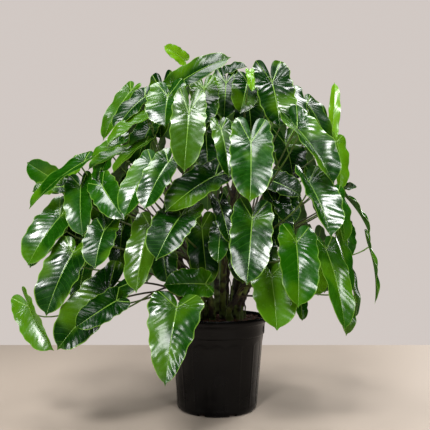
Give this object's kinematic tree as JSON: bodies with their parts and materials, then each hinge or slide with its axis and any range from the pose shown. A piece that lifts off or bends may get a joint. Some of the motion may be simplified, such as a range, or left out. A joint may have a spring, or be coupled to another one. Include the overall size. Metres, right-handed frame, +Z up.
{
  "type": "potted burle marx philodendron",
  "caption": "Bushy aroid with long heart-based glossy leaves on long stalks, leafy stems standing in a black nursery pot of bark mix.",
  "frame": {"origin": "middle of the pot's foot, on the ground", "axes": "+Z up, -Y the front that the picture shows, +X to the right of the picture"},
  "size_m": [0.8887, 0.7367, 0.9081],
  "materials": {
    "pot": "satin moulded polypropylene",
    "mix": "rough bark chips",
    "foliage": "glossy waxy leaf"
  },
  "bodies": {
    "root": {"pot": "pot", "potting_mix": "mix", "leafy_stem_crown_left": "foliage", "leafy_stem_upper_left": "foliage", "leafy_stem_far_left": "foliage", "leafy_stem_mid_left": "foliage", "leafy_stem_low_left": "foliage", "leafy_stem_front_left": "foliage", "leafy_stem_front_centre": "foliage", "leafy_stem_crown_right": "foliage", "leafy_stem_upper_right": "foliage", "leafy_stem_far_right": "foliage", "leafy_stem_front_right": "foliage", "leafy_stem_low_right": "foliage", "leafy_stem_back_left": "foliage", "leafy_stem_back": "foliage", "leafy_stem_back_right": "foliage"}
  },
  "joints": []
}
